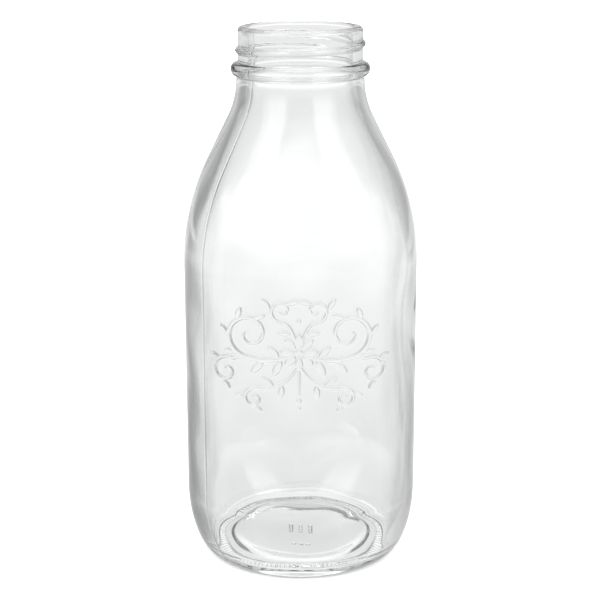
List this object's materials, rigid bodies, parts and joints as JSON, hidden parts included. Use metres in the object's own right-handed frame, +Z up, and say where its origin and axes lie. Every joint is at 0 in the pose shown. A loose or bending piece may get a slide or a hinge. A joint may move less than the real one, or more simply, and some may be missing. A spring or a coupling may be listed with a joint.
{
  "type": "glass milk bottle",
  "caption": "Clear glass milk bottle with a squarish body, sloping round shoulder, beaded neck and a wide screw-thread mouth.",
  "frame": {"origin": "centre of the ring that the bottle stands on, on the standing plane", "axes": "+Z up through the mouth, -Y out of the front, +X to the right of someone who faces the front"},
  "size_m": [0.092, 0.0925, 0.212],
  "materials": {
    "clear_glass": "fire-polished, clear"
  },
  "bodies": {
    "root": {"glass_bottle": "clear_glass"}
  },
  "joints": []
}
